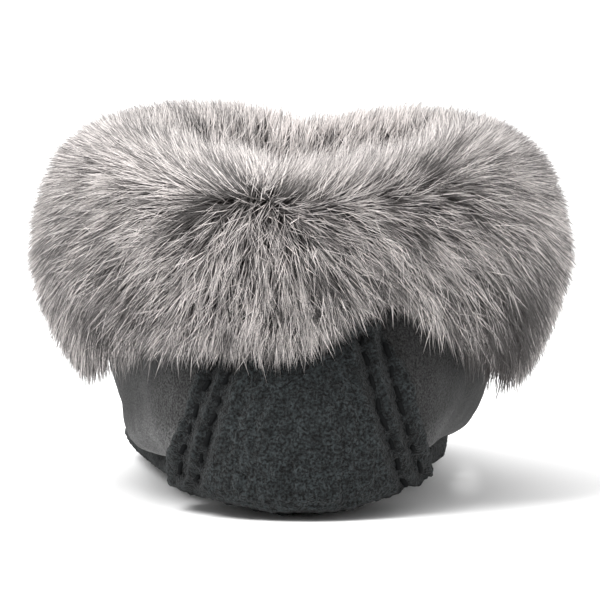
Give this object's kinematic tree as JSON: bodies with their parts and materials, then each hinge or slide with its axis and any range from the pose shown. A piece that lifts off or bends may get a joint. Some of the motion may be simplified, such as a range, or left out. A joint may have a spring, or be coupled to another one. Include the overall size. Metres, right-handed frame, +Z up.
{
  "type": "fur-trimmed moccasin",
  "caption": "Soft slip-on moccasin bootie, left foot: suede upper, curled felt sole, stitched felt heel patch and a deep turned-down fur cuff.",
  "frame": {"origin": "middle of the heel patch's flat seat, on the floor", "axes": "+Z up, +Y from heel to toe, +X to the inner side of the left foot"},
  "size_m": [0.1683, 0.281, 0.1234],
  "materials": {
    "sole_felt": "thick grey wool felt, cut edge rough and open",
    "footbed_felt": "thin grey-beige wool felt",
    "suede": "mid-grey suede, short nap with paler rubbed folds",
    "patch_felt": "charcoal boiled-wool felt with a coarse crumbly nap",
    "apron_suede": "mid-grey suede, as the upper",
    "fur": "long silver-grey rabbit fur with darker roots and streaks"
  },
  "bodies": {
    "root": {"sole": "sole_felt", "insole": "footbed_felt", "upper": "suede", "heel_patch": "patch_felt", "apron": "apron_suede", "fur_cuff": "fur"}
  },
  "joints": []
}
